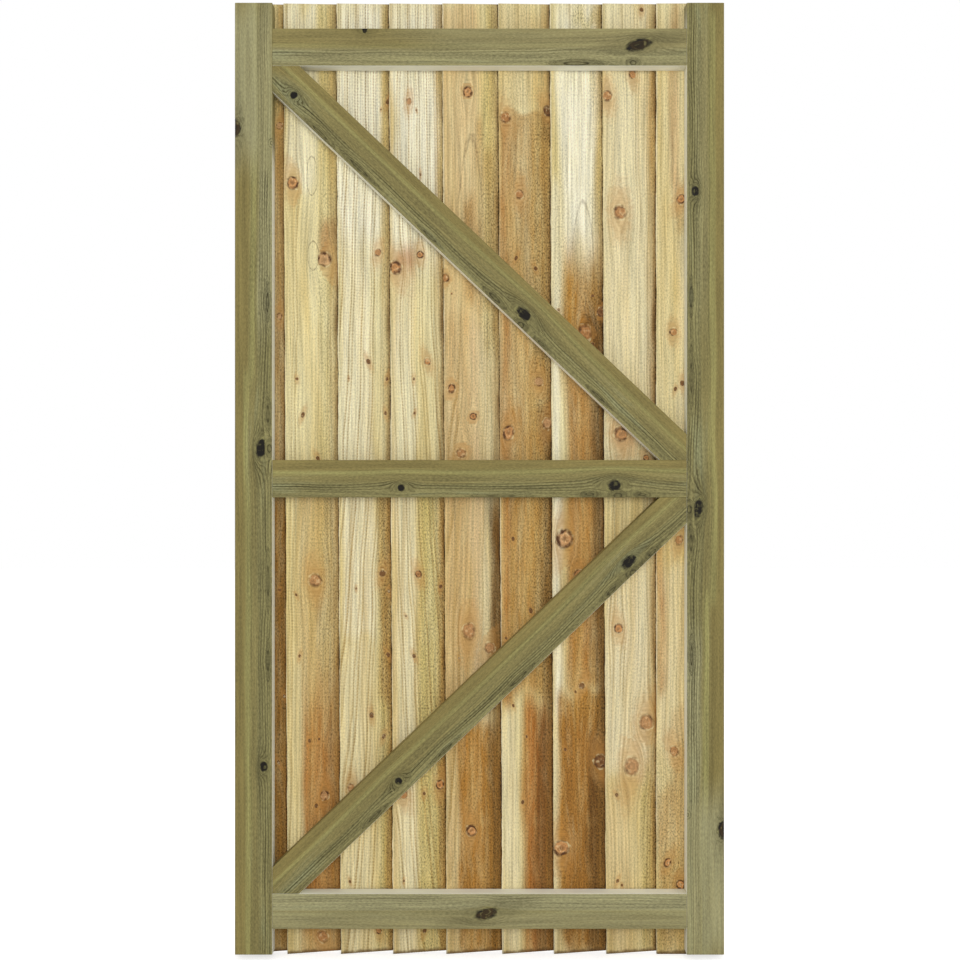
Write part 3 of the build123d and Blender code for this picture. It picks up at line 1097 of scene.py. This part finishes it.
def board_grid(sizes, index):
    """A feather-edge board's grid: a wedge outline carried along its length, its foot cut at a
    slant, with the thin edge wandering in a long and a short wave that die out across it."""
    slant = tan(radians(FOOT_SLANT)) if index < len(BOARDS) - 1 else 0.0
    corners = [(0, 0), (BOARD_WIDTH, 0), (BOARD_WIDTH, THICK_EDGE), (0, THIN_EDGE)]
    outline = eased_outline(corners, BOARD_ARRIS, sizes.grid_step / MM)
    low = -BOARD_LENGTH / 2
    grid = carried(outline, lambda u: low + u * slant, level(-low), sizes.row_step / MM, BOARD_END_EASE)
    near_thin = smooth(1 - grid[..., 0] / WAVE_WIDTH)
    along, still = grid[..., 2], np.zeros(1)
    wave = wander(along / LONG_WAVE, still, 70 + index)
    wave += wander(along / SHORT_WAVE, still, 90 + index) * SHORT_WAVE_SHARE
    grid[..., 0] += np.clip(wave, -WAVE_LIMIT, WAVE_LIMIT) * near_thin * sizes.edge_wave / MM
    return grid


def board_knots(index):
    """A board's knots with their shapes: each radius gets its own width, length and lean by seeded
    chance, and one without a darkness is small, dark and narrow. The thin lines follow as they are."""
    chance = np.random.default_rng(900 + index)
    knots = []
    for u, v, size, *dark in BOARDS[index]["knots"]:
        wide, long, lean = [chance.uniform(low, high) for low, high in KNOT_SHAPES]
        if not dark:
            wide, long, dark = wide * SMALL_KNOT_WIDE, long * SMALL_KNOT_LONG, [SMALL_KNOT_DARK]
        knots.append((u, v, size * wide, size * long, lean, dark[0]))
    return knots + BOARDS[index].get("thin_lines", [])


def board_fields(index):
    """The fields of a board: rings, saw weave, patches of each tone, and lap, which is the distance
    in metres past the next board's thin edge."""
    data = BOARDS[index]
    leans = board_leans()
    last = index == len(BOARDS) - 1
    next_edge = NO_NEIGHBOUR if last else BOARD_PLACES[index + 1] - BOARD_PLACES[index]
    slope = 0.0 if last else tan(radians(leans[index] - leans[index + 1]))

    def fields(across, along, depth, moved):
        def tone(name, order):
            seed = 100 * index + 7 * order
            return patches(across, along, data.get(name, ()), TONE_SOFTNESS, TONE_SWAY, seed)

        weave = patches(across, along, data.get("weave", ()), WEAVE_SOFTNESS, WEAVE_SWAY, 60 + index)
        return {
            "lap": (across - next_edge - slope * along) * MM,
            "weave": np.maximum(LEAST_WEAVE, weave),
            "ring": growth_rings(moved, along, depth, data["trunk"], 300 + index),
            "stain": np.stack([tone("brown", 0), tone("orange", 1), tone("olive", 2)], -1),
            "wash": np.stack([tone("pink", 3), tone("dark", 4), tone("pale", 5)], -1),
        }

    return fields


class GATE_OT_boards(bpy.types.Operator):
    """Make the nine feather-edge boards, each seated on its neighbour"""

    bl_idname = "gate.boards"
    bl_label = "Boards"

    def execute(self, context):
        material = shared_finish(context, "sawn_board", board_finish)
        for index in range(len(BOARDS)):
            name, grid = f"board_{index + 1}", board_grid(context.scene.gate_sizes, index)
            knots, fields = board_knots(index), board_fields(index)
            timber_piece(name, grid, board_seat(index), knots, fields, NO_PALE_EDGE, material)
        return {"FINISHED"}


class GATE_OT_nails(bpy.types.Operator):
    """Make the nails that hold the boards to the rails"""

    bl_idname = "gate.nails"
    bl_label = "Board nails"

    def execute(self, context):
        # A nail is its profile turned round its axis: a circle of each reach at each height
        radius = context.scene.gate_sizes.nail_radius / MM
        reach = np.array([*SHANK_REACH, *(share * radius for share in HEAD_SHARES), NAIL_TOP_REACH])
        turns = np.linspace(0, 2 * pi, NAIL_SIDES, endpoint=False)
        ring_u, ring_v = reach[:, None] * np.cos(turns), reach[:, None] * np.sin(turns)
        lift = np.broadcast_to(np.array(NAIL_HEIGHTS)[:, None], ring_u.shape)
        quads, start_cap, end_cap = tube_faces(len(reach), NAIL_SIDES)
        points, faces = [], []
        for index in range(len(BOARDS)):
            origin, across, through, along = board_seat(index)
            across_places = (NAIL_PLACE, FIRST_BOARD_NAIL_PLACE) if index == 0 else (NAIL_PLACE,)
            for rail in (TOP_RAIL_HEIGHT, 0.0, BOTTOM_RAIL_HEIGHT):
                for place in across_places:
                    depth = THIN_EDGE + (THICK_EDGE - THIN_EDGE) * place / BOARD_WIDTH
                    centre = origin + across * place + through * depth + along * rail
                    spot = centre + ring_u[..., None] * across - ring_v[..., None] * along
                    first = len(points) * reach.size * NAIL_SIDES
                    points.append((spot + lift[..., None] * through).reshape(-1, 3) * MM)
                    faces += (quads + first).tolist()
                    faces += [(start_cap + first).tolist(), (end_cap + first).tolist()]
        mesh = bpy.data.meshes.new("board_nails")
        mesh.from_pydata(np.concatenate(points), [], faces)
        mesh.materials.append(shared_finish(context, "galvanised_nail", nail_finish))
        piece = bpy.data.objects.new("board_nails", mesh)
        context.scene.collection.objects.link(piece)
        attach(piece, "root")
        return {"FINISHED"}


class GATE_OT_stage(bpy.types.Operator):
    """Make the floor, the light and the camera"""

    bl_idname = "gate.stage"
    bl_label = "Stage"

    def execute(self, context):
        scene = context.scene
        scene.view_settings.view_transform = "Standard"
        half, low = FLOOR_REACH, cad_box[0][2] - FLOOR_GAP
        corners = [(-half, -half, low), (half, -half, low), (half, half, low), (-half, half, low)]
        mesh = bpy.data.meshes.new("floor")
        mesh.from_pydata(corners, [], [(0, 1, 2, 3)])
        floor = bpy.data.objects.new("floor", mesh)
        scene.collection.objects.link(floor)
        mesh.materials.append(floor_finish())
        # The sky is white where it is seen and weaker where it lights
        world = bpy.data.worlds.new("studio")
        scene.world = world
        start = empty_tree(world)
        strength = SKY_LIGHT + seen_directly(start) * (1.0 - SKY_LIGHT)
        sky = start.node("ShaderNodeBackground", {}, {"Color": WHITE, "Strength": strength})
        start.node("ShaderNodeOutputWorld", {}, {"Surface": sky})
        for name, place, size, power in LAMPS:
            self.lamp(scene, name, place, size, power)
        camera_data = bpy.data.cameras.new("camera")
        camera_data.lens = CAMERA_LENS
        camera_data.clip_end = CAMERA_REACH
        camera = bpy.data.objects.new("camera", camera_data)
        camera.location = CAMERA_PLACE
        camera.rotation_euler = (pi / 2, 0.0, 0.0)
        scene.collection.objects.link(camera)
        scene.camera = camera
        return {"FINISHED"}

    def lamp(self, scene, name, place, size, power):
        """A square soft lamp that faces the gate's middle."""
        data = bpy.data.lights.new(name, "AREA")
        data.shape = "SQUARE"
        data.size = size
        data.energy = power
        light = bpy.data.objects.new(name, data)
        light.location = place
        away = np.array(place) - np.array(LAMP_AIM)
        light.rotation_euler = (atan2(hypot(away[0], away[1]), away[2]), 0.0, atan2(away[0], -away[1]))
        scene.collection.objects.link(light)


class GATE_PT_panel(bpy.types.Panel):
    """The gate's pieces, sizes and colours"""

    bl_idname = "GATE_PT_panel"
    bl_label = "Garden gate"
    bl_space_type = "VIEW_3D"
    bl_region_type = "UI"
    bl_category = "Gate"

    def draw(self, context):
        for operator in OPERATORS:
            self.layout.operator(operator.bl_idname)
        for group in (context.scene.gate_sizes, context.scene.gate_colours):
            for name in group.__annotations__:
                self.layout.prop(group, name)


OPERATORS = (GATE_OT_stiles, GATE_OT_rails, GATE_OT_braces, GATE_OT_boards, GATE_OT_nails, GATE_OT_stage)
CLASSES = (GateSizes, GateColours) + OPERATORS + (GATE_PT_panel,)


def register():
    for item in CLASSES:
        bpy.utils.register_class(item)
    bpy.types.Scene.gate_sizes = bpy.props.PointerProperty(type=GateSizes)
    bpy.types.Scene.gate_colours = bpy.props.PointerProperty(type=GateColours)


def unregister():
    del bpy.types.Scene.gate_colours
    del bpy.types.Scene.gate_sizes
    for item in reversed(CLASSES):
        bpy.utils.unregister_class(item)


def main():
    """Makes every piece."""
    register()
    bpy.ops.gate.stiles()
    bpy.ops.gate.rails()
    bpy.ops.gate.braces()
    bpy.ops.gate.boards()
    bpy.ops.gate.nails()
    bpy.ops.gate.stage()


if __name__ == "__main__":
    main()
